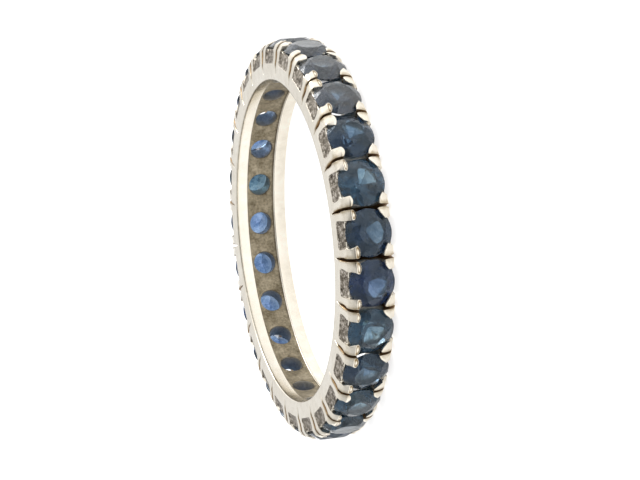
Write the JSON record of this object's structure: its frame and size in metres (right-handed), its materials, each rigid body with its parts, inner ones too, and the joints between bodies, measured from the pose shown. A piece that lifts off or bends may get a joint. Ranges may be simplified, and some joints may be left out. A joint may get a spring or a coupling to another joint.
{
  "type": "eternity ring",
  "caption": "Full eternity finger ring: round dark blue stones all the way round, each held by four claws cut from one cast pale gold band with side windows and light holes.",
  "frame": {"origin": "centre of the finger bore, in the plane of the lower side face that the ring rests on", "axes": "+Z along the finger bore, from the side face it rests on to the other; -Y towards the first stone"},
  "size_m": [0.0212, 0.0212, 0.0028],
  "materials": {
    "white_gold": "aged white gold, polished rails and claws, grey cast skin in the windows and the inside channel",
    "sapphire": "dark blue cut stone with a lightly worn polish"
  },
  "bodies": {
    "root": {"band": "white_gold", "stone_01": "sapphire", "stone_02": "sapphire", "stone_03": "sapphire", "stone_04": "sapphire", "stone_05": "sapphire", "stone_06": "sapphire", "stone_07": "sapphire", "stone_08": "sapphire", "stone_09": "sapphire", "stone_10": "sapphire", "stone_11": "sapphire", "stone_12": "sapphire", "stone_13": "sapphire", "stone_14": "sapphire", "stone_15": "sapphire", "stone_16": "sapphire", "stone_17": "sapphire", "stone_18": "sapphire", "stone_19": "sapphire", "stone_20": "sapphire", "stone_21": "sapphire", "stone_22": "sapphire", "stone_23": "sapphire", "stone_24": "sapphire", "stone_25": "sapphire"}
  },
  "joints": []
}
